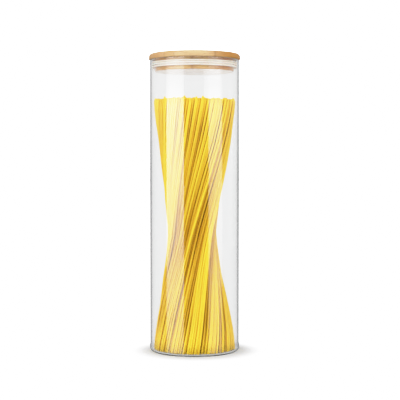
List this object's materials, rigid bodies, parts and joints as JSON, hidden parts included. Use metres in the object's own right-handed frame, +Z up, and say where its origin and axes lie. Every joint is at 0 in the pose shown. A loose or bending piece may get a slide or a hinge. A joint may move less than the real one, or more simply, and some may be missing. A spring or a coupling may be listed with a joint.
{
  "type": "lidded glass canister",
  "caption": "Tall straight-sided glass storage canister with a flat round bamboo plug lid, sealed in the mouth by a lipped silicone ring.",
  "frame": {"origin": "centre of the foot ring, on the surface that the canister stands on", "axes": "+Z up along the canister's own axis, out of its mouth; the canister is round, so +X and +Y are free"},
  "size_m": [0.09, 0.09, 0.292],
  "materials": {
    "clear_glass": "clear, flame-polished borosilicate",
    "silicone": "matt, milky, slightly translucent",
    "bamboo": "sanded and oiled, satin"
  },
  "bodies": {
    "canister": {"glass_body": "clear_glass"},
    "seal": {"seal_ring": "silicone"},
    "lid": {"lid_plug": "bamboo", "lid_cap": "bamboo"}
  },
  "joints": [
    {"name": "lid_lift", "type": "slide", "parent": "canister", "child": "seal", "axis": [0, 0, 1], "range_m": [0, 0.04]},
    {"name": "lid_turn", "type": "hinge", "parent": "seal", "child": "lid", "pos_m": [0, 0, 0.286], "axis": [0, 0, 1], "continuous": true}
  ]
}
